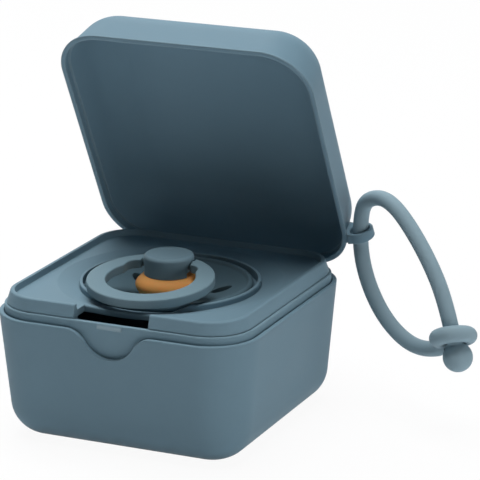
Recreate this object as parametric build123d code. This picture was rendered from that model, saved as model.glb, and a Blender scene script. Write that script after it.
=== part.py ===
"""Pacifier steriliser case: a square two-tier box with a hinged lid, a lift-out tray that holds one
pacifier, and a silicone carrying strap on the lid's eyelet.

Millimetres. +Z is up, -Y is the front (the side with the finger notch), and the origin is the centre of
the base's underside. Everything is modelled with the lid standing open at lid_open_angle.
"""

from build123d import *
import math
import os

os.makedirs("parts", exist_ok=True)

# ---- the case's outline, shared by every tier ----
case_width = 70.0
case_depth = 71.0
corner_radius = 12.8
case_rim_height = 32.4
case_draft = 5.5
base_round = 9.0
case_wall = 1.2
rim_softening = 0.35

# ---- finger notch in the front of the outer case ----
notch_half_width = 12.0
notch_depth = 7.0
notch_floor_radius = 7.5

# ---- liner, the cup inside the outer case ----
liner_gap = 0.2
liner_wall = 1.2
liner_band = 1.94
latch_width = 6.6
latch_height = 1.25
latch_drop = 0.06
latch_proud = 0.4
latch_land = 0.15

# ---- insert tray ----
tray_foot_step = 0.55
tray_seat_gap = 0.15
tray_height = 3.3
tray_wall_lean = 1.05
tray_top_softening = 0.5
lip_width = 1.0
lip_depth = 1.55
dish_reach = 0.6875
dish_depth = 1.33
skirt_depth = 3.9
skirt_gap = 0.25
skirt_wall = 1.6
deck_thickness = 1.7
guard_clearance = 0.85
ring_wall = 0.85
ring_height = 1.53
ledge_width = 1.65
ledge_drop = 0.75
ledge_thickness = 1.3
scoop_half_width = 9.6
scoop_shoulder = 5.4
scoop_drop = 0.4
window_half_width = 10.2
bar_width = 4.4
window_edge_round = 0.5

# ---- lid ----
lid_open_angle = 63.0
lid_height = 16.9
parting_gap = 0.2
lid_flange_height = 1.0
lid_flange_step = 0.6
lid_draft = 8.5
lid_crown_round = 9.8
lid_crown_corner = 11.4
lid_wall = 1.15
lid_top_wall = 1.6
lap_gap = 0.2
latch_pocket_gap = 0.2

# ---- hinge ----
hinge_radius = 1.8
hinge_offset = 0.65
hinge_drop = 0.9
hinge_half_width = 15.0
lid_knuckle_half_width = 7.0
knuckle_gap = 0.25
pin_radius = 0.7
pin_running_gap = 0.05

# ---- eyelet on the lid's right wall ----
strap_diameter = 4.0
eyelet_hole_gap = 0.6
eyelet_rim = 0.9
eyelet_height = 2.7
eyelet_root_height = 4.2
eyelet_from_hinge = 11.2
eyelet_above_rim = 2.7
eyelet_standoff = 3.3
eyelet_tilt = 15.0
eyelet_roll = 10.0

# ---- strap ----
strap_turn = -28.0
eye_diameter = 12.15
eye_ring_diameter = 3.98
eye_lean = 11.0
ball_diameter = 7.6
ball_drop = 4.95
ball_lean = 21.0
neck_diameter = 3.8
neck_rise = 3.25
last_run = 7.3

# ---- pacifier ----
pacifier_offset = -0.3
shield_diameter = 42.6
shield_wall = 1.6
shield_bowl_depth = 4.0
shield_rim_width = 1.8
shield_rim_height = 1.65
shield_rim_lift = 0.9
shield_seat_gap = 0.25
vent_length = 5.4
vent_width = 3.4
vent_circle_radius = 13.2
vent_count = 3
collar_radius = 8.6
collar_height = 6.7
neck_radius = 4.6
nipple_waist_radius = 4.1
bulb_radius = 7.6
nipple_length = 25.0
knob_radius = 6.35
knob_height = 5.2
knob_roof = 1.3
knob_edge_round = 0.9
knob_top_hollow = 0.25
knob_slot_depth = 1.9
knob_slot_half_width = 2.7
stem_radius = 3.0
stem_reach = 2.8

# ---- handle ring of the pacifier ----
ring_outer = 16.0
ring_inner = 11.25
ring_thickness = 2.4
ring_edge_round = 0.35
ring_reach = 12.75
ring_tilt = 4.0
ring_heading = 4.8
ring_top_clearance = 1.45
ring_knob_gap = 0.35
ring_end_width = 2.4
ring_pocket_half_width = 9.5
ring_pocket_round = 3.0
ring_pocket_blend = 3.5
stub_radius = 1.15
stub_running_gap = 0.05
stub_depth = 1.9

# ---- heights that follow from the sizes above ----
liner_rim = case_rim_height + liner_band
tray_top = liner_rim + tray_height
deck_top = tray_top - lip_depth
dish_floor = deck_top - dish_depth
ring_top = dish_floor + ring_height
ledge_top = dish_floor - ledge_drop
liner_inset = case_wall + liner_gap
tray_inset = liner_inset + tray_foot_step
deck_half_width = case_width / 2 - tray_inset - tray_wall_lean - lip_width
ring_inner_radius = shield_diameter / 2 + guard_clearance
ring_outer_radius = ring_inner_radius + ring_wall
dish_radius = ring_outer_radius + dish_reach * (deck_half_width - ring_outer_radius)
strap_radius = strap_diameter / 2
lid_rim = case_rim_height + parting_gap
lid_top = case_rim_height + lid_height
hinge_y = case_depth / 2 + hinge_offset
hinge_z = case_rim_height - hinge_drop


def case_inset(z):
    """How far the case's drafted wall stands in from its rim outline at height z."""
    return (case_rim_height - z) * math.tan(math.radians(case_draft))


def plan(z, inset, radius):
    """The rounded square of the case's outline at height z, stepped in by inset."""
    outline = RectangleRounded(case_width - 2 * inset, case_depth - 2 * inset, radius)
    return Plane.XY.offset(z) * outline


def prism(z_low, z_high, inset_low, inset_high, radius_low=None, radius_high=None):
    """A drafted block between two outlines."""
    low = plan(z_low, inset_low, radius_low or corner_radius - inset_low)
    high = plan(z_high, inset_high, radius_high or corner_radius - inset_high)
    return loft([low, high], ruled=True)


def tub(step, z_low, z_high, bottom_round):
    """The drafted block that follows the case's wall, stepped in by step, its bottom edge round."""
    block = prism(z_low, z_high, case_inset(z_low) + step, case_inset(z_high) + step)
    return fillet(block.faces().sort_by(Axis.Z)[0].edges(), bottom_round)


def rod(x_low, x_high, radius, y=None, z=None):
    """A round bar along X, on the hinge's line unless told otherwise."""
    middle = Pos((x_low + x_high) / 2, hinge_y if y is None else y, hinge_z if z is None else z)
    return middle * Rot(0, 90, 0) * Cylinder(radius, x_high - x_low)


def block(x, y, z):
    """A box given by its low and high limits on each axis."""
    centre = Pos((x[0] + x[1]) / 2, (y[0] + y[1]) / 2, (z[0] + z[1]) / 2)
    return centre * Box(x[1] - x[0], y[1] - y[0], z[1] - z[0])


def side_profile(points, x_low, x_high):
    """A prism along X whose section is a polygon of (y, z) points."""
    section = Plane.YZ * make_face(Polyline(*points, close=True))
    return Pos(x_low, 0, 0) * extrude(section, amount=x_high - x_low, dir=(1, 0, 0))


# ---- outer case ----
def notch_cutter():
    """The finger notch: a round floor that runs into the rim through two round shoulders."""
    reach = (notch_half_width**2 + notch_depth**2) / (2 * notch_depth)
    slope = math.asin(notch_half_width / reach)
    turn_x = notch_floor_radius * math.sin(slope)
    turn_z = notch_floor_radius * (1 - math.cos(slope)) - notch_depth
    above = 2.0
    left, right = (-notch_half_width, 0), (notch_half_width, 0)
    shoulder = TangentArc(left, (-turn_x, turn_z), tangent=(1, 0))
    floor = TangentArc((-turn_x, turn_z), (turn_x, turn_z), tangent=shoulder % 1)
    other = TangentArc((turn_x, turn_z), right, tangent=floor % 1)
    top = Polyline(right, (notch_half_width, above), (-notch_half_width, above), left)
    face = make_face([shoulder, floor, other, top])
    front = Plane(origin=(0, -case_depth / 2 - 1, case_rim_height), x_dir=(1, 0, 0), z_dir=(0, -1, 0))
    return extrude(front * face, amount=-(1 + 2 * case_wall), both=False)


def make_outer_case():
    shell = tub(0, 0, case_rim_height, base_round)
    cavity = tub(case_wall, case_wall, case_rim_height, base_round - case_wall)
    case = shell - cavity
    rim = case.faces().sort_by(Axis.Z)[-1]
    case = fillet(rim.edges(), rim_softening)
    case -= notch_cutter()
    for side in (-1, 1):
        ends = sorted((side * (lid_knuckle_half_width + knuckle_gap), side * hinge_half_width))
        wall_y = case_depth / 2 - case_wall / 2
        foot = [
            (wall_y, hinge_z + hinge_radius * 0.4),
            (hinge_y, hinge_z),
            (hinge_y + hinge_radius * 0.9, hinge_z - hinge_radius * 0.4),
            (wall_y, hinge_z - 3.2 * hinge_radius),
        ]
        case += rod(*ends, hinge_radius) + side_profile(foot, *ends)
    clear = lid_knuckle_half_width + knuckle_gap
    case -= rod(-clear, clear, hinge_radius + knuckle_gap)
    case -= rod(-hinge_half_width - 1, hinge_half_width - hinge_radius, pin_radius)
    return case


def make_hinge_pin():
    end = hinge_half_width - hinge_radius
    return rod(-hinge_half_width, end, pin_radius)


# ---- liner ----
def latch_ramp(gap):
    """The ramp on the liner's front wall that the lid snaps over, or its pocket when grown by a gap."""
    face_y = -case_depth / 2 + liner_inset
    top, low = liner_rim - latch_drop + gap, liner_rim - latch_drop - latch_height - gap
    front, back = face_y - latch_proud - gap, face_y + liner_wall / 2
    land_top = low + latch_land + 2 * gap
    profile = [(back, top), (face_y - gap, top), (front, land_top), (front, low), (back, low)]
    half = latch_width / 2 + gap
    return side_profile(profile, -half, half)


def make_liner():
    step = liner_inset
    cup = tub(step, case_wall, case_rim_height, base_round - step)
    cup += prism(case_rim_height, liner_rim, step, step)
    inside = step + liner_wall
    hollow = tub(inside, case_wall + liner_wall, case_rim_height, base_round - inside)
    hollow += prism(case_rim_height, liner_rim + 1, inside, inside)
    cup -= hollow
    rim = cup.faces().sort_by(Axis.Z)[-1]
    cup = fillet(rim.edges(), rim_softening * 0.7)
    return cup + latch_ramp(0)


# ---- insert tray ----
def front_sector(half_low, half_high, z_low, z_high, radius):
    """The front of a round block, between sides that slope outwards from half_low to half_high."""
    points = [(-half_low, z_low), (half_low, z_low), (half_high, z_high), (-half_high, z_high)]
    face = Plane.XZ * make_face(Polyline(*points, close=True))
    return extrude(face, amount=case_depth / 2) & Cylinder(radius, 3 * z_high)


def make_insert_tray():
    foot, head = tray_inset, tray_inset + tray_wall_lean
    seat = liner_rim + tray_seat_gap
    tray = prism(seat, tray_top, foot, head)
    tray = fillet(tray.faces().sort_by(Axis.Z)[-1].edges(), tray_top_softening)
    plug = liner_inset + liner_wall + skirt_gap
    tray += prism(liner_rim - skirt_depth, seat, plug, plug)
    tray -= prism(deck_top, tray_top + 1, head + lip_width + 0.3, head + lip_width - 0.2)
    below = liner_rim - skirt_depth - 1
    hollow = prism(below, deck_top - deck_thickness, plug + skirt_wall, plug + skirt_wall)
    bowl = Cone(ring_outer_radius, dish_radius, dish_depth)
    tray -= hollow - Pos(0, 0, deck_top - deck_thickness - dish_depth / 2) * bowl
    tray -= Pos(0, 0, deck_top - dish_depth / 2) * bowl
    ledge_low = ledge_top - ledge_thickness
    wall = Pos(0, 0, (ring_top + ledge_low) / 2) * Cylinder(ring_outer_radius, ring_top - ledge_low)
    wall = fillet(wall.edges().sort_by(Axis.Z)[-1], ring_wall * 0.4)
    tray += wall
    well = ring_top - ledge_top + 1
    tray -= Pos(0, 0, ledge_top + well / 2) * Cylinder(ring_inner_radius, well)
    tray -= Cylinder(ring_inner_radius - ledge_width, 2 * tray_top)
    half, shoulder = scoop_half_width, scoop_half_width + scoop_shoulder
    scoop_floor = dish_floor - scoop_drop
    tray -= front_sector(half, shoulder, scoop_floor, ring_top + 0.4, ring_outer_radius)
    tray -= front_sector(half, half, ledge_low - 1, scoop_floor, ring_inner_radius)
    bar_y = -(ring_outer_radius + bar_width)
    window = block(
        (-window_half_width, window_half_width),
        (-case_depth / 2, bar_y),
        (liner_rim - skirt_depth - 1, tray_top + 1),
    )
    tray -= window
    front = tray.edges().filter_by_position(Axis.Y, bar_y - 1e-3, bar_y + 1e-3)
    bar = front.filter_by(lambda edge: edge.center().Z > dish_floor and edge.bounding_box().size.Z < 0.5)
    return fillet(bar, window_edge_round)


# ---- lid, drawn closed and then swung open about the hinge ----
def swing(part):
    """Opens a piece that was drawn on the closed lid."""
    axis = Axis((0, hinge_y, hinge_z), (1, 0, 0))
    return part.rotate(axis, -lid_open_angle)


def unswing(part):
    """Closes a piece that was drawn on the open lid."""
    axis = Axis((0, hinge_y, hinge_z), (1, 0, 0))
    return part.rotate(axis, lid_open_angle)


def lid_outer():
    flange_top = lid_rim + lid_flange_height
    lean = (lid_top - flange_top) * math.tan(math.radians(lid_draft))
    body = prism(
        flange_top, lid_top, lid_flange_step, lid_flange_step + lean, radius_high=lid_crown_corner
    )
    body = fillet(body.faces().sort_by(Axis.Z)[-1].edges(), lid_crown_round)
    flange = prism(lid_rim, flange_top, 0, 0)
    flange = chamfer(flange.faces().sort_by(Axis.Z)[-1].edges(), lid_flange_step * 0.9)
    return body + flange


def lid_inner():
    lap = liner_inset - lap_gap
    step_z = liner_rim + parting_gap
    inset = tray_inset - 0.25
    ceiling = lid_top - lid_top_wall
    rise = ceiling - step_z
    lean = rise * math.tan(math.radians(lid_draft)) + lid_wall - 0.7
    upper = prism(step_z, ceiling, inset, inset + lean, radius_high=lid_crown_corner - lid_wall)
    upper = fillet(upper.faces().sort_by(Axis.Z)[-1].edges(), lid_crown_round - lid_wall)
    return upper + prism(lid_rim - 1, step_z, lap, lap)


def make_eyelet():
    """The strap's ring on the lid's right wall: nearly upright while the lid stands open."""
    bore = strap_radius + eyelet_hole_gap
    ring = Cylinder(bore + eyelet_rim, eyelet_height) - Cylinder(bore, eyelet_height)
    ring = fillet(ring.edges(), eyelet_rim * 0.42)
    wide, narrow = eyelet_root_height / 2, eyelet_height / 2 - 0.1
    foot, neck = -eyelet_standoff - 3.0, -bore
    half = [(foot, wide), (neck, narrow), (0, narrow)]
    outline = half + [(x, -z) for x, z in reversed(half)]
    root = extrude(Plane.XZ * make_face(Polyline(*outline, close=True)), amount=bore + 0.7, both=True)
    root -= Cylinder(bore + eyelet_rim / 2, 2 * eyelet_root_height)
    below = block((0, case_width / 2 + 0.4), (0, case_depth), (0, lid_rim))
    return unswing(eyelet_frame * (ring + root)) - below


def make_lid():
    lid = lid_outer() + make_eyelet() - lid_inner()
    lid -= latch_ramp(latch_pocket_gap)
    for side in (-1, 1):
        ends = sorted((side * lid_knuckle_half_width, side * (hinge_half_width + knuckle_gap)))
        lid -= rod(*ends, hinge_radius + knuckle_gap)
    back_y = case_depth / 2 - lid_flange_step
    web = [
        (back_y - 0.4, lid_rim + 0.3),
        (hinge_y - hinge_radius * 0.6, hinge_z),
        (hinge_y + hinge_radius * 0.8, hinge_z + hinge_radius * 0.6),
        (back_y - 0.8, lid_rim + 4.2),
    ]
    half = lid_knuckle_half_width
    lid += rod(-half, half, hinge_radius) + side_profile(web, -half, half)
    lid -= rod(-half - knuckle_gap, half + knuckle_gap, pin_radius + pin_running_gap)
    return swing(lid)


eyelet_centre_x = case_width / 2 - lid_flange_step + eyelet_standoff
drawn_y = hinge_y - eyelet_from_hinge
drawn_z = lid_rim + eyelet_above_rim
turn = math.radians(lid_open_angle)
eyelet_centre = (
    eyelet_centre_x,
    hinge_y + (drawn_y - hinge_y) * math.cos(turn) + (drawn_z - hinge_z) * math.sin(turn),
    hinge_z - (drawn_y - hinge_y) * math.sin(turn) + (drawn_z - hinge_z) * math.cos(turn),
)


eyelet_frame = Plane(
    origin=eyelet_centre,
    x_dir=(1, 0, 0),
    z_dir=(0, -math.sin(math.radians(eyelet_tilt)), math.cos(math.radians(eyelet_tilt))),
) * Rot(0, -eyelet_roll, 0)


# ---- strap: a loop through the eyelet, in an upright plane turned by strap_turn ----
loop = Plane(
    origin=eyelet_centre,
    x_dir=(math.cos(math.radians(strap_turn)), math.sin(math.radians(strap_turn)), 0),
    z_dir=(math.sin(math.radians(strap_turn)), -math.cos(math.radians(strap_turn)), 0),
)
eye_centre = (36.4, -18.8)


def along(lean, distance):
    """The point that far down from the eye's centre, leaning outwards."""
    angle = math.radians(lean)
    return (eye_centre[0] + distance * math.sin(angle), eye_centre[1] - distance * math.cos(angle))


cord_route = [
    (29.6, -23.4),
    (25.2, -24.9),
    (17.3, -24.3),
    (9.2, -20.0),
    (3.2, -13.0),
    (0.0, -5.0),
    (0.0, 4.4),
    (1.9, 9.2),
    (7.9, 11.5),
    (13.5, 10.3),
    (19.7, 6.0),
    (26.8, -0.9),
    along(ball_lean, -neck_rise - last_run),
    along(ball_lean, -neck_rise),
]


def in_loop(point):
    return loop.from_local_coords(Vector(point[0], point[1], 0))


def route_radii(points):
    """The largest tangent arc that the two runs at each corner allow."""
    corners = []
    for a, b, c in zip(points, points[1:], points[2:]):
        before, after = b - a, c - b
        shorter = min(before.length, after.length)
        corners.append(0.45 * shorter / math.tan(math.radians(before.get_angle(after) / 2)))
    return corners


def make_strap_cord():
    points = [in_loop(p) for p in cord_route]
    radii = route_radii(points)
    path = FilletPolyline(*points, radius=radii)
    start = Plane(origin=points[0], z_dir=points[1] - points[0])
    cord = sweep(start * Circle(strap_radius), path=path)
    print("strap radii", [round(r, 1) for r in radii])
    print("strap length", round(path.length, 1), "volume", round(cord.volume, 1))
    print("section times length", round(math.pi * strap_radius**2 * path.length, 1))
    return cord


def facing(lean):
    """The eye's centre with +Z running down the loop's plane at that lean."""
    angle = math.radians(lean)
    across = loop.from_local_coords(Vector(math.cos(angle), math.sin(angle), 0)) - loop.origin
    down = loop.from_local_coords(Vector(math.sin(angle), -math.cos(angle), 0)) - loop.origin
    return Plane(origin=in_loop(eye_centre), x_dir=across, z_dir=down)


def make_strap_eye():
    """The round eye moulded on one end of the strap, with the short bent tail that joins the cord."""
    small = eye_ring_diameter / 2
    core = eye_diameter / 2 - small
    eye = facing(eye_lean) * Torus(core, small)
    start = cord_route[0]
    run = Vector(*start) - Vector(*cord_route[1])
    bend = (start[0] + run.X * 0.5, start[1] + run.Y * 0.5)
    join = (eye_centre[0] - core * 0.96, eye_centre[1] - small * 0.35)
    points = [in_loop(start), in_loop(bend), in_loop(join)]
    path = FilletPolyline(*points, radius=1.5 * strap_radius)
    section = Plane(origin=points[0], z_dir=points[1] - points[0]) * Circle(strap_radius)
    return eye + sweep(section, path=path)


def make_strap_ball():
    """The stop at the other end, on the neck that passes through the eye."""
    neck = Pos(0, 0, (ball_drop - neck_rise) / 2) * Cylinder(neck_diameter / 2, ball_drop + neck_rise)
    ball = Pos(0, 0, ball_drop) * Sphere(ball_diameter / 2)
    return facing(ball_lean) * (neck + ball)


# ---- pacifier, seated in the tray ----
shield_low = ledge_top + shield_seat_gap
shield_radius = shield_diameter / 2
shield_top = shield_low + shield_rim_height
bowl_edge = shield_radius - shield_rim_width
bowl_edge_z = shield_top - shield_rim_lift
shield_floor = bowl_edge_z - shield_bowl_depth
bowl_radius = (bowl_edge**2 + shield_bowl_depth**2) / (2 * shield_bowl_depth)
knob_base = shield_floor + collar_height
ring_pivot_z = knob_base + knob_height - ring_top_clearance - ring_thickness / 2


def bowl_z(r):
    """Height of the guard's upper face at radius r."""
    return shield_floor + bowl_radius - math.sqrt(bowl_radius**2 - r**2)


def turned(outline):
    """A solid of revolution about Z from a closed (r, z) outline."""
    return revolve(Plane.XZ * make_face(outline), Axis.Z)


def bowl_arc(r_start, r_end, drop):
    """An arc of the guard's bowl, or of its underside drop lower."""
    radii = [r_start, (r_start + r_end) / 2, r_end]
    return ThreePointArc(*[(r, bowl_z(r) - drop) for r in radii])


def make_shield():
    """A round bowl-shaped guard with a raised rounded rim, oval vents and a centre hole."""
    edge, top = shield_radius, shield_top
    flange = edge - 0.75 * shield_rim_width
    upper = bowl_arc(neck_radius, bowl_edge, 0)
    rise = Spline(upper @ 1, (edge - 0.55 * shield_rim_width, top), tangents=(upper % 1, (1, 0)))
    low_edge = (edge - 0.2 * shield_rim_width, shield_low)
    nose = ThreePointArc(rise @ 1, (edge, (top + shield_low) / 2), low_edge)
    under_edge = flange - 0.35
    step = Polyline(nose @ 1, (flange, shield_low), (under_edge, bowl_z(under_edge) - shield_wall))
    under = bowl_arc(under_edge, neck_radius, shield_wall)
    centre = Line(under @ 1, upper @ 0)
    guard = turned([upper, rise, nose, step, under, centre])
    vent = extrude(Ellipse(vent_length / 2, vent_width / 2), amount=shield_top)
    for n in range(vent_count):
        angle = -90 + 360 / vent_count * n
        guard -= Rot(0, 0, angle) * Pos(vent_circle_radius, 0, 0) * vent
    return guard


def make_nipple():
    """The latex teat: a full round collar above the guard, a neck through it and a round bulb below."""
    low = shield_floor - shield_wall + 0.2
    tip = low - nipple_length
    bulb_z = tip + bulb_radius
    waist_z = (low + bulb_z) / 2 + 2.5
    foot = collar_radius - 1.7
    crown = knob_radius - 0.2
    belly_z = knob_base - 0.38 * collar_height
    bulge = Spline(
        (crown, knob_base),
        (collar_radius, belly_z),
        (foot, bowl_z(foot)),
        tangents=((1, -0.45), (-0.5, -1)),
    )
    collar = [
        Line((stem_radius, knob_base), bulge @ 0),
        bulge,
        bowl_arc(foot, neck_radius, 0),
        Line((neck_radius, bowl_z(neck_radius)), (neck_radius, low)),
    ]
    teat = Spline(
        (neck_radius, low),
        (nipple_waist_radius, waist_z),
        (bulb_radius, bulb_z),
        (0, tip),
        tangents=((-0.1, -1), (-1, 0)),
    )
    stem_low = low - stem_reach
    core = Polyline((0, tip), (0, stem_low), (stem_radius, stem_low), (stem_radius, knob_base))
    return turned(collar + [teat, core])


def arch(side, low, crown):
    """A tunnel into the knob's side, round at the top, from its flat back out past the surface."""
    flat = knob_radius - knob_slot_depth
    ends = sorted((side * flat, side * (knob_radius + 1)))
    width = (-knob_slot_half_width, knob_slot_half_width)
    spring = crown - knob_slot_half_width
    return block(ends, width, (low, spring)) + rod(*ends, knob_slot_half_width, 0, spring)


def make_knob():
    """The plug that traps the collar, with arched side slots and blind bores for the ring's stubs."""
    top = knob_base + knob_height
    knob = Pos(0, 0, (knob_base + top) / 2) * Cylinder(knob_radius, knob_height)
    knob = fillet(knob.edges().sort_by(Axis.Z)[-1], knob_edge_round)
    dish = (knob_radius**2 / 2 + knob_top_hollow**2) / (2 * knob_top_hollow)
    knob -= Pos(0, 0, top - knob_top_hollow + dish) * Sphere(dish)
    flat = knob_radius - knob_slot_depth
    for side in (-1, 1):
        ends = sorted((side * (flat - stub_depth), side * (flat + 1)))
        bore = rod(*ends, stub_radius + stub_running_gap, 0, ring_pivot_z)
        knob -= Rot(0, 0, ring_heading) * (arch(side, knob_base - 1, top - knob_roof) + bore)
    stem_low = shield_floor - shield_wall + 0.2 - stem_reach
    stem = Pos(0, 0, (stem_low + knob_base) / 2) * Cylinder(stem_radius, knob_base - stem_low)
    return knob + stem


def make_ring():
    """The flat handle ring: its two ends turn in towards the knob and run on as round stubs."""
    pocket = Rectangle(2 * ring_pocket_half_width, ring_reach)
    pocket = fillet(pocket.vertices(), ring_pocket_round)
    pocket = Pos(0, -ring_end_width - ring_reach / 2, 0) * pocket
    band = Pos(0, -ring_reach, 0) * (Circle(ring_outer) - Circle(ring_inner)) - pocket
    meets = band.vertices().filter_by(lambda v: abs(abs(v.X) - ring_pocket_half_width) < 1e-3)
    band = fillet(meets.sort_by(Axis.Y)[:2], ring_pocket_blend)
    gap = knob_radius + ring_knob_gap
    band -= Rectangle(2 * gap, 2 * gap)
    band = extrude(band, amount=ring_thickness / 2, both=True)
    flats = band.faces().filter_by(Axis.Z)
    band = fillet([edge for face in flats for edge in face.edges()], ring_edge_round)
    stub_end = knob_radius - knob_slot_depth - stub_depth + 0.15
    for side in (-1, 1):
        ends = sorted((side * stub_end, side * (gap + 0.4)))
        band += rod(*ends, stub_radius, 0, 0)
    return Pos(0, 0, ring_pivot_z) * Rot(0, 0, ring_heading) * Rot(ring_tilt, 0, 0) * band


nodes = {
    "outer_case": make_outer_case,
    "liner": make_liner,
    "hinge_pin": make_hinge_pin,
    "insert_tray": make_insert_tray,
    "lid_shell": make_lid,
    "strap_cord": make_strap_cord,
    "strap_eye": make_strap_eye,
    "strap_ball": make_strap_ball,
    "pacifier_shield": make_shield,
    "pacifier_nipple": make_nipple,
    "pacifier_knob": make_knob,
    "pacifier_ring": make_ring,
}

for name, make in nodes.items():
    piece = make()
    if name.startswith("pacifier"):
        piece = Pos(pacifier_offset, 0, 0) * piece
    export_step(piece, f"parts/{name}.step")
print("eyelet centre", [round(v, 3) for v in eyelet_centre])
print("hinge", hinge_y, hinge_z, "ring pivot", round(ring_pivot_z, 3))
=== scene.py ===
"""Pacifier sterilizer case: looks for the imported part, in metres and in the part's own frame."""

import bpy
import math
from mathutils import Matrix, Vector


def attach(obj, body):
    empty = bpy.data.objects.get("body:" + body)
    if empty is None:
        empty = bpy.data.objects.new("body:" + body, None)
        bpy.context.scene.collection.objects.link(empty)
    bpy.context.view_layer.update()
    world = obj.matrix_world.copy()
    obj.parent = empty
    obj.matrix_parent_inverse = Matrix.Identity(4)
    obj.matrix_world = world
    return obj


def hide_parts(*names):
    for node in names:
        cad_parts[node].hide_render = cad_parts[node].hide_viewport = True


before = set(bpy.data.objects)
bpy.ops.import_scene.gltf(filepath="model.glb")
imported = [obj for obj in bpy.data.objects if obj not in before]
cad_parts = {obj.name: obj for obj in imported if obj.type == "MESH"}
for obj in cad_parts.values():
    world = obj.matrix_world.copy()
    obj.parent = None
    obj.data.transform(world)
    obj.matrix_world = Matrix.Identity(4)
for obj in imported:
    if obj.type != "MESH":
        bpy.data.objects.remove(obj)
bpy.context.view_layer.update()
scene = bpy.context.scene


def srgb(r, g, b):
    """A colour written as 0 to 255 screen values, as the linear colour that a socket takes."""
    def linear(v):
        v /= 255
        return v / 12.92 if v <= 0.04045 else ((v + 0.055) / 1.055) ** 2.4
    return (linear(r), linear(g), linear(b), 1)


WHITE = (1, 1, 1, 1)


def clear_selection():
    for piece in bpy.context.selected_objects:
        piece.select_set(False)


def pick(*pieces):
    """Selects these pieces alone and makes the first one active."""
    clear_selection()
    for piece in pieces:
        piece.select_set(True)
    bpy.context.view_layer.objects.active = pieces[0]


def settle(piece):
    """Puts a piece's place into its mesh."""
    pick(piece)
    bpy.ops.object.transform_apply(location=True, rotation=True, scale=True)


# ---- camera ----
AIM_HEIGHT = 0.0324  # the case's rim
CAMERA_DISTANCE = 0.74198
LENS, SENSOR_WIDTH = 219.94, 36


def aim_camera():
    """The standing view: three-quarter front, a little above the rim."""
    azimuth, elevation, roll = math.radians(26.115), math.radians(17.926), math.radians(-0.808)
    yaw, pitch = math.radians(1.371), math.radians(1.015)
    towards = Vector((math.sin(azimuth) * math.cos(elevation), -math.cos(azimuth) * math.cos(elevation),
                      math.sin(elevation)))
    place = towards * CAMERA_DISTANCE + Vector((0, 0, AIM_HEIGHT))
    ahead = -towards
    right = ahead.cross(Vector((0, 0, 1))).normalized()
    up = right.cross(ahead)
    ahead = (ahead + math.tan(yaw) * right + math.tan(pitch) * up).normalized()
    right = ahead.cross(up).normalized()
    up = right.cross(ahead)
    level = math.cos(roll) * right + math.sin(roll) * up
    head = -math.sin(roll) * right + math.cos(roll) * up
    data = bpy.data.cameras.new("main_camera")
    data.lens, data.sensor_width = LENS, SENSOR_WIDTH
    data.clip_start, data.clip_end = 0.01, 20
    camera = bpy.data.objects.new("main_camera", data)
    scene.collection.objects.link(camera)
    turn = Matrix((level, head, -ahead)).transposed()
    camera.matrix_world = Matrix.Translation(place) @ turn.to_4x4()
    scene.camera = camera


aim_camera()
scene.view_settings.view_transform = "Standard"


# ---- light ----
ROOM_GLOW = 0.01  # what surfaces receive from the surroundings


def softbox(name, place, target, size, power):
    """A square lamp at that place, turned to its target; metres and watts."""
    data = bpy.data.lights.new(name, "AREA")
    data.shape, data.size, data.energy = "SQUARE", size, power
    lamp = bpy.data.objects.new(name, data)
    scene.collection.objects.link(lamp)
    lamp.location = place
    lamp.rotation_euler = (Vector(target) - Vector(place)).to_track_quat("-Z", "Y").to_euler()


softbox("top_softbox", place=(0, 0, 0.93), target=(0, 0, 0.04), size=0.6, power=7.2)
softbox("back_left_softbox", place=(-0.4, 0.4, 0.75), target=(0, 0, 0.04), size=0.6, power=4.3)
softbox("right_card", place=(0.42, -0.05, 0.02), target=(0, 0, 0.06), size=0.3, power=0.78)
softbox("front_card", place=(0.02, -0.32, 0.01), target=(0, 0, 0.07), size=0.3, power=0.063)


def wire(tree, kind, links_in=None, **settings):
    """A node of that kind with its settings, its sockets fed from other nodes or set to plain values."""
    node = tree.nodes.new(kind)
    for key, value in settings.items():
        setattr(node, key, value)
    for socket, source in (links_in or {}).items():
        if isinstance(source, bpy.types.NodeSocket):
            tree.links.new(source, node.inputs[socket])
        else:
            node.inputs[socket].default_value = source
    return node


def maths(tree, operation, *values):
    """The result of one sum on numbers or sockets."""
    return wire(tree, "ShaderNodeMath", dict(enumerate(values)), operation=operation).outputs[0]


def bright_to_camera(tree):
    """1 for a ray that shows a surface to the camera, directly, in a reflection or through glass."""
    path = tree.nodes.new("ShaderNodeLightPath")
    value = path.outputs["Is Camera Ray"]
    for other in ("Is Glossy Ray", "Is Transmission Ray"):
        value = maths(tree, "MAXIMUM", value, path.outputs[other])
    return value


def light_world():
    """White surroundings to the camera, which give the object hardly any light."""
    world = bpy.data.worlds.new("studio")
    scene.world = world
    world.use_nodes = True
    tree = world.node_tree
    tree.nodes.clear()
    room = wire(tree, "ShaderNodeBackground", {"Color": WHITE, "Strength": ROOM_GLOW})
    white = wire(tree, "ShaderNodeBackground")
    mix = wire(tree, "ShaderNodeMixShader", {0: bright_to_camera(tree), 1: room.outputs[0],
                                             2: white.outputs[0]})
    wire(tree, "ShaderNodeOutputWorld", {"Surface": mix.outputs[0]})


light_world()


# ---- shared surface ----
GRAIN_SIZE = 0.00022
DRIFT = 0.05  # how far the colour's brightness drifts either way, as a share
BEVEL_SAMPLES = 6
SLOW_SCALE, CLOUD_SCALE = 38.0, 160.0  # the two noises of the colour drift, per metre
# where the painted edge highlight starts and where it is full
EDGE_STARTS, EDGE_FULL = 0.995, 0.86  # cosine between the true normal and the rounded one
ROUGHNESS_SPREAD = 0.18  # between the cloud's darkest and lightest places


def effect(name, inputs, outputs):
    """An empty node group whose named sockets are floats or colours."""
    group = bpy.data.node_groups.new(name, "ShaderNodeTree")
    for side, sockets in (("INPUT", inputs), ("OUTPUT", outputs)):
        for socket, kind in sockets.items():
            group.interface.new_socket(socket, in_out=side, socket_type="NodeSocket" + kind)
    return group, group.nodes.new("NodeGroupInput"), group.nodes.new("NodeGroupOutput")


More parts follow.
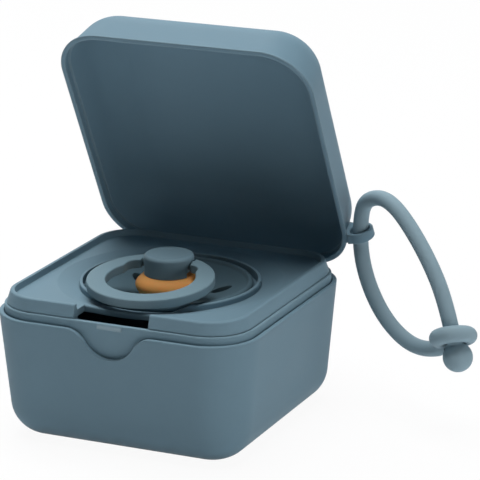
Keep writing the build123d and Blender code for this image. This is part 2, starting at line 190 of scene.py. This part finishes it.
def make_moulded_surface():
    """Moulded plastic: slow colour drift, edges made paler by a painted highlight, changing roughness and a
    fine grain's height.
    """
    inputs = {"Colour": "Color", "Edge highlight colour": "Color", "Drift": "Float", "Edge width": "Float",
              "Edge highlight amount": "Float", "Grain size": "Float", "Roughness": "Float"}
    outputs = {"Colour": "Color", "Roughness": "Float", "Height": "Float"}
    group, given, result = effect("moulded_surface", inputs, outputs)

    # the colour, which drifts slowly
    place = wire(group, "ShaderNodeTexCoord").outputs["Object"]
    slow = wire(group, "ShaderNodeTexNoise", {"Vector": place, "Scale": SLOW_SCALE, "Detail": 2.0})
    cloud = wire(group, "ShaderNodeTexNoise", {"Vector": place, "Scale": CLOUD_SCALE, "Detail": 3.0})
    centred = maths(group, "SUBTRACT", maths(group, "ADD", slow.outputs[0], cloud.outputs[0]), 1.0)
    level = maths(group, "ADD", maths(group, "MULTIPLY", centred, given.outputs["Drift"]), 1.0)
    tinted = wire(group, "ShaderNodeVectorMath", {0: given.outputs["Colour"], "Scale": level},
                  operation="SCALE")

    # a painted highlight: paler where an edge turns
    rounded = wire(group, "ShaderNodeBevel", {"Radius": given.outputs["Edge width"]}, samples=BEVEL_SAMPLES)
    flat = wire(group, "ShaderNodeNewGeometry").outputs["Normal"]
    facing = wire(group, "ShaderNodeVectorMath", {0: rounded.outputs[0], 1: flat}, operation="DOT_PRODUCT")
    edge = wire(group, "ShaderNodeMapRange", {"Value": facing.outputs["Value"], "From Min": EDGE_STARTS,
                                              "From Max": EDGE_FULL, "To Min": 0.0, "To Max": 1.0})
    amount = maths(group, "MULTIPLY", edge.outputs[0], given.outputs["Edge highlight amount"])
    colour = wire(group, "ShaderNodeMix", {0: amount, 6: tinted.outputs[0], 7: given.outputs["Edge highlight colour"]},
                  data_type="RGBA")

    # the grain's height, and roughness that changes with the cloud
    fineness = maths(group, "DIVIDE", 1.0, given.outputs["Grain size"])
    grain = wire(group, "ShaderNodeTexNoise", {"Vector": place, "Scale": fineness, "Detail": 2.0})
    spread = maths(group, "SUBTRACT", cloud.outputs[0], 0.5)
    rough = maths(group, "MULTIPLY_ADD", spread, ROUGHNESS_SPREAD, given.outputs["Roughness"])

    group.links.new(colour.outputs[2], result.inputs["Colour"])
    group.links.new(rough, result.inputs["Roughness"])
    group.links.new(grain.outputs[0], result.inputs["Height"])
    return group


moulded_surface = make_moulded_surface()


# ---- materials ----
MATTE = 0.05  # the low sheen of every moulding
GRAIN_HEIGHT = 0.0002
GRAIN_STRENGTH = 0.02


def new_material(name, base, roughness, specular=MATTE, **sockets):
    """A Principled material whose plain values sit on its own sockets."""
    material = bpy.data.materials.new(name)
    material.use_nodes = True
    shader = material.node_tree.nodes["Principled BSDF"]
    shader.inputs["Base Color"].default_value = base
    shader.inputs["Roughness"].default_value = roughness
    shader.inputs["Specular IOR Level"].default_value = specular
    for socket, value in sockets.items():
        shader.inputs[socket.replace("_", " ")].default_value = value
    return material, shader


def moulded(name, colour, edge_highlight_colour, roughness, edge_width=0.0004, edge_highlight_amount=0.35, drift=DRIFT,
            **sockets):
    """A moulded plastic or silicone finish, its edges lightened by a painted highlight."""
    material, shader = new_material(name, colour, roughness, **sockets)
    tree = material.node_tree
    surface = wire(tree, "ShaderNodeGroup", node_tree=moulded_surface)
    values = {"Colour": colour, "Edge highlight colour": edge_highlight_colour, "Drift": drift, "Edge width": edge_width,
              "Edge highlight amount": edge_highlight_amount, "Grain size": GRAIN_SIZE, "Roughness": roughness}
    for socket, value in values.items():
        surface.inputs[socket].default_value = value
    tree.links.new(surface.outputs["Colour"], shader.inputs["Base Color"])
    tree.links.new(surface.outputs["Roughness"], shader.inputs["Roughness"])
    rounded = wire(tree, "ShaderNodeBevel", {"Radius": edge_width}, samples=BEVEL_SAMPLES)
    relief = wire(tree, "ShaderNodeBump", {
        "Strength": GRAIN_STRENGTH, "Distance": GRAIN_HEIGHT, "Height": surface.outputs["Height"],
        "Normal": rounded.outputs[0]})
    tree.links.new(relief.outputs[0], shader.inputs["Normal"])
    return material


def soft_moulded(name, colour, roughness, drift=DRIFT, **sockets):
    """A moulded finish for a soft piece, whose edges get no painted highlight and are no paler than the
    rest.
    """
    return moulded(name, colour, colour, roughness, edge_highlight_amount=0.0, drift=drift, **sockets)


def paint_latch_highlight(material, latch_highlight, wall=-0.03412, tip=-0.0343):
    """Lightens the latch tab with a painted highlight; the tab is the one form that stands proud of the
    liner's front wall.
    """
    tree = material.node_tree
    base = tree.nodes["Principled BSDF"].inputs["Base Color"]
    place = wire(tree, "ShaderNodeTexCoord").outputs["Object"]
    depth = wire(tree, "ShaderNodeSeparateXYZ", {0: place}).outputs["Y"]
    proud = wire(tree, "ShaderNodeMapRange", {"Value": depth, "From Min": wall, "From Max": tip,
                                              "To Min": 0.0, "To Max": 1.0})
    colour = wire(tree, "ShaderNodeMix", {0: proud.outputs[0], 6: base.links[0].from_socket, 7: latch_highlight},
                  data_type="RGBA")
    tree.links.new(colour.outputs[2], base)
    return material


# Each moulding's second colour is its painted edge highlight.
BLUE, EDGE_HIGHLIGHT_BLUE = srgb(113, 140, 154), srgb(144, 165, 175)
case_plastic = moulded("case_plastic", BLUE, EDGE_HIGHLIGHT_BLUE, 0.5)
# The liner's last colour is a painted highlight on its latch tab.
liner_plastic = paint_latch_highlight(moulded("liner_plastic", srgb(118, 146, 160), srgb(148, 169, 179), 0.5,
                                  edge_width=0.0006, edge_highlight_amount=0.5), srgb(143, 165, 176))
tray_plastic = moulded("tray_plastic", BLUE, EDGE_HIGHLIGHT_BLUE, 0.48)
lid_plastic = moulded("lid_plastic", srgb(112, 140, 155), srgb(150, 171, 181), 0.5, edge_width=0.0007,
                      edge_highlight_amount=0.5)
ring_plastic = moulded("ring_plastic", srgb(118, 143, 154), srgb(146, 166, 175), 0.42, edge_width=0.0003)
knob_plastic = moulded("knob_plastic", srgb(114, 139, 151), EDGE_HIGHLIGHT_BLUE, 0.42, edge_width=0.0003)
# The guard's colour is darker than the ring's and knob's: partly its own tone, partly painted shade for the
# cup around the shield.
guard_tone_and_painted_shade = moulded("guard_tone_and_painted_shade", srgb(91, 115, 126), srgb(118, 140, 150), 0.42, edge_width=0.0003)
strap_silicone = soft_moulded("strap_silicone", srgb(137, 160, 171), 0.55)
latex = soft_moulded("latex", srgb(222, 158, 92), 0.5, drift=0.1, Subsurface_Weight=0.25,
                     Subsurface_Scale=0.0015)

FINISHES = {
    "outer_case": case_plastic, "hinge_pin": case_plastic, "liner": liner_plastic,
    "insert_tray": tray_plastic, "lid_shell": lid_plastic, "pacifier_shield": guard_tone_and_painted_shade,
    "pacifier_knob": knob_plastic, "pacifier_ring": ring_plastic, "pacifier_nipple": latex,
}
for name, finish in FINISHES.items():
    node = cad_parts[name]
    node.data.materials.clear()
    node.data.materials.append(finish)


def dress(piece, name, finish, slot, body, *stands_for):
    """Names a finished piece, gives it its finish and sets it on its body."""
    piece.name = piece.data.name = name
    piece.data.materials.clear()
    piece.data.materials.append(finish)
    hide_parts(*stands_for)
    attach(piece, body)
    return piece


# ---- strap: a loop in an upright plane through the lid's eyelet ----
EYELET = Vector((0.0377, 0.034451, 0.043204))
STRAP_TURN = math.radians(-28)  # of the loop's plane, about the upright axis
CORD_RADIUS = 0.002
END_RADIUS = 0.00203  # the eye's tail and the ball's neck, a skin over the cord's ends
SKIN_VOXEL = 0.00022
EYE_CENTRE = (0.0363, -0.0185)
EYE_LEAN, EYE_DIP = 27.0, -14.0
EYE_RADIUS, EYE_SECTION = 0.00394, 0.00214  # radii of the ring's centre line and of its section
TAIL_LAP, TAIL_LEAD = 0.0012, 0.0022  # how far the tail runs along the cord, before and past its end
TAIL_END = (-0.0030, -0.0012)  # inside the ring, from the eye's centre
NECK_LEAN = 21
BALL_RADIUS = 0.0038
BALL_DROP = 0.00516  # from the eye's centre down to the ball's
NECK_DROPS = (-0.00405, -0.0005, 0.003)  # from the eye's centre down to the neck's control points


def in_loop(across, up):
    """The place of a point in the loop's plane, measured from the eyelet."""
    return EYELET + Vector((across * math.cos(STRAP_TURN), across * math.sin(STRAP_TURN), up))


def below_eye(lean, distance):
    """The point that far down from the eye's centre at that lean, in the loop's plane."""
    lean = math.radians(lean)
    return EYE_CENTRE[0] + distance * math.sin(lean), EYE_CENTRE[1] - distance * math.cos(lean)


def loop_frame(lean, dip=0.0):
    """The turn that brings +Z down the loop's plane at that lean, then dips its near edge."""
    lean = math.radians(lean)
    down = in_loop(math.sin(lean), -math.cos(lean)) - EYELET
    across = in_loop(math.cos(lean), math.sin(lean)) - EYELET
    turned = Matrix((across, down.cross(across), down)).transposed()
    return (Matrix.Rotation(math.radians(dip), 3, across) @ turned).to_euler()


STRAP_ROUTE = [
    (0.0296, -0.0234), (0.0252, -0.0249), (0.0173, -0.0243), (0.0092, -0.0200), (0.0032, -0.0130),
    (0.0000, -0.0050), (0.0000, 0.0044), (0.0019, 0.0092), (0.0079, 0.0115), (0.0135, 0.0103),
    (0.0197, 0.0060), (0.0268, -0.0009), below_eye(NECK_LEAN, -0.01023), below_eye(NECK_LEAN, -0.00292),
]


def round_cord(name, route, radius):
    """A smooth round cord through a route's control points."""
    curve = bpy.data.curves.new(name, "CURVE")
    curve.dimensions = "3D"
    spline = curve.splines.new("NURBS")
    spline.points.add(len(route) - 1)
    for control, point in zip(spline.points, route):
        control.co = (*in_loop(*point), 1)
    spline.order_u = 3
    spline.use_endpoint_u = True
    spline.resolution_u = 12
    curve.bevel_depth, curve.bevel_resolution = radius, 8
    curve.use_fill_caps = True
    cord = bpy.data.objects.new(name, curve)
    scene.collection.objects.link(cord)
    return cord


strap = round_cord("strap_cord_smooth", STRAP_ROUTE, CORD_RADIUS)
dress(strap, "strap_cord_smooth", strap_silicone, "strap_silicone", "strap", "strap_cord")


def blend(form, end_name, end_route, rounds):
    """One smooth skin over a form and the short round cord that enters it, with its creases softened."""
    end = round_cord(end_name, end_route, END_RADIUS)
    pick(end)
    bpy.ops.object.convert(target="MESH")
    pick(form, bpy.context.object)
    bpy.ops.object.join()
    remesh = form.modifiers.new("skin", "REMESH")
    remesh.mode, remesh.voxel_size, remesh.use_smooth_shade = "VOXEL", SKIN_VOXEL, True
    soften = form.modifiers.new("soften", "SMOOTH")
    soften.factor, soften.iterations = 0.5, rounds
    for modifier in ("skin", "soften"):
        bpy.ops.object.modifier_apply(modifier=modifier)
    bpy.ops.object.shade_smooth()
    settle(form)


def make_strap_eye():
    """The moulded round eye with its short tail, one smooth skin with the cord's end."""
    clear_selection()
    bpy.ops.mesh.primitive_torus_add(major_radius=EYE_RADIUS, minor_radius=EYE_SECTION, major_segments=72,
                                     minor_segments=32, location=in_loop(*EYE_CENTRE),
                                     rotation=loop_frame(EYE_LEAN, EYE_DIP))
    eye = bpy.context.object
    settle(eye)
    start, before = Vector(STRAP_ROUTE[0]), Vector(STRAP_ROUTE[1])
    run = (start - before).normalized()
    inside = Vector((EYE_CENTRE[0] + TAIL_END[0], EYE_CENTRE[1] + TAIL_END[1]))
    tail = [start - run * TAIL_LAP, start, start + run * TAIL_LEAD, inside]
    blend(eye, "strap_tail", tail, rounds=10)
    return dress(eye, "strap_eye_smooth", strap_silicone, "strap_silicone", "strap", "strap_eye")


def make_strap_ball():
    """The ball stop with its neck, one smooth skin."""
    clear_selection()
    bpy.ops.mesh.primitive_uv_sphere_add(segments=64, ring_count=32, radius=BALL_RADIUS,
                                         location=in_loop(*below_eye(NECK_LEAN, BALL_DROP)),
                                         rotation=loop_frame(NECK_LEAN))
    ball = bpy.context.object
    blend(ball, "ball_neck", [below_eye(NECK_LEAN, drop) for drop in NECK_DROPS], rounds=6)
    return dress(ball, "strap_ball_smooth", strap_silicone, "strap_silicone", "strap", "strap_ball")


strap_eye = make_strap_eye()
strap_ball = make_strap_ball()


# ---- floor ----
FLOOR_GLOW_SHARE = 0.94  # of what the camera sees; the rest is lit and keeps the shadow
FLOOR_HEIGHT = -0.0001  # just under the part's underside


def lay_floor():
    """A white floor that stays white to the camera and keeps the object's soft shadow."""
    clear_selection()
    bpy.ops.mesh.primitive_plane_add(size=6, location=(0, 0, FLOOR_HEIGHT))
    floor = bpy.context.object
    floor.name = "studio_floor"
    material, shader = new_material("floor_white", srgb(240, 241, 243), 0.95, specular=0.1)
    tree = material.node_tree
    glow = wire(tree, "ShaderNodeEmission", {"Color": WHITE, "Strength": 1.0})
    share = maths(tree, "MULTIPLY", bright_to_camera(tree), FLOOR_GLOW_SHARE)
    mix = wire(tree, "ShaderNodeMixShader", {0: share, 1: shader.outputs[0], 2: glow.outputs[0]})
    tree.links.new(mix.outputs[0], tree.nodes["Material Output"].inputs["Surface"])
    floor.data.materials.append(material)


lay_floor()
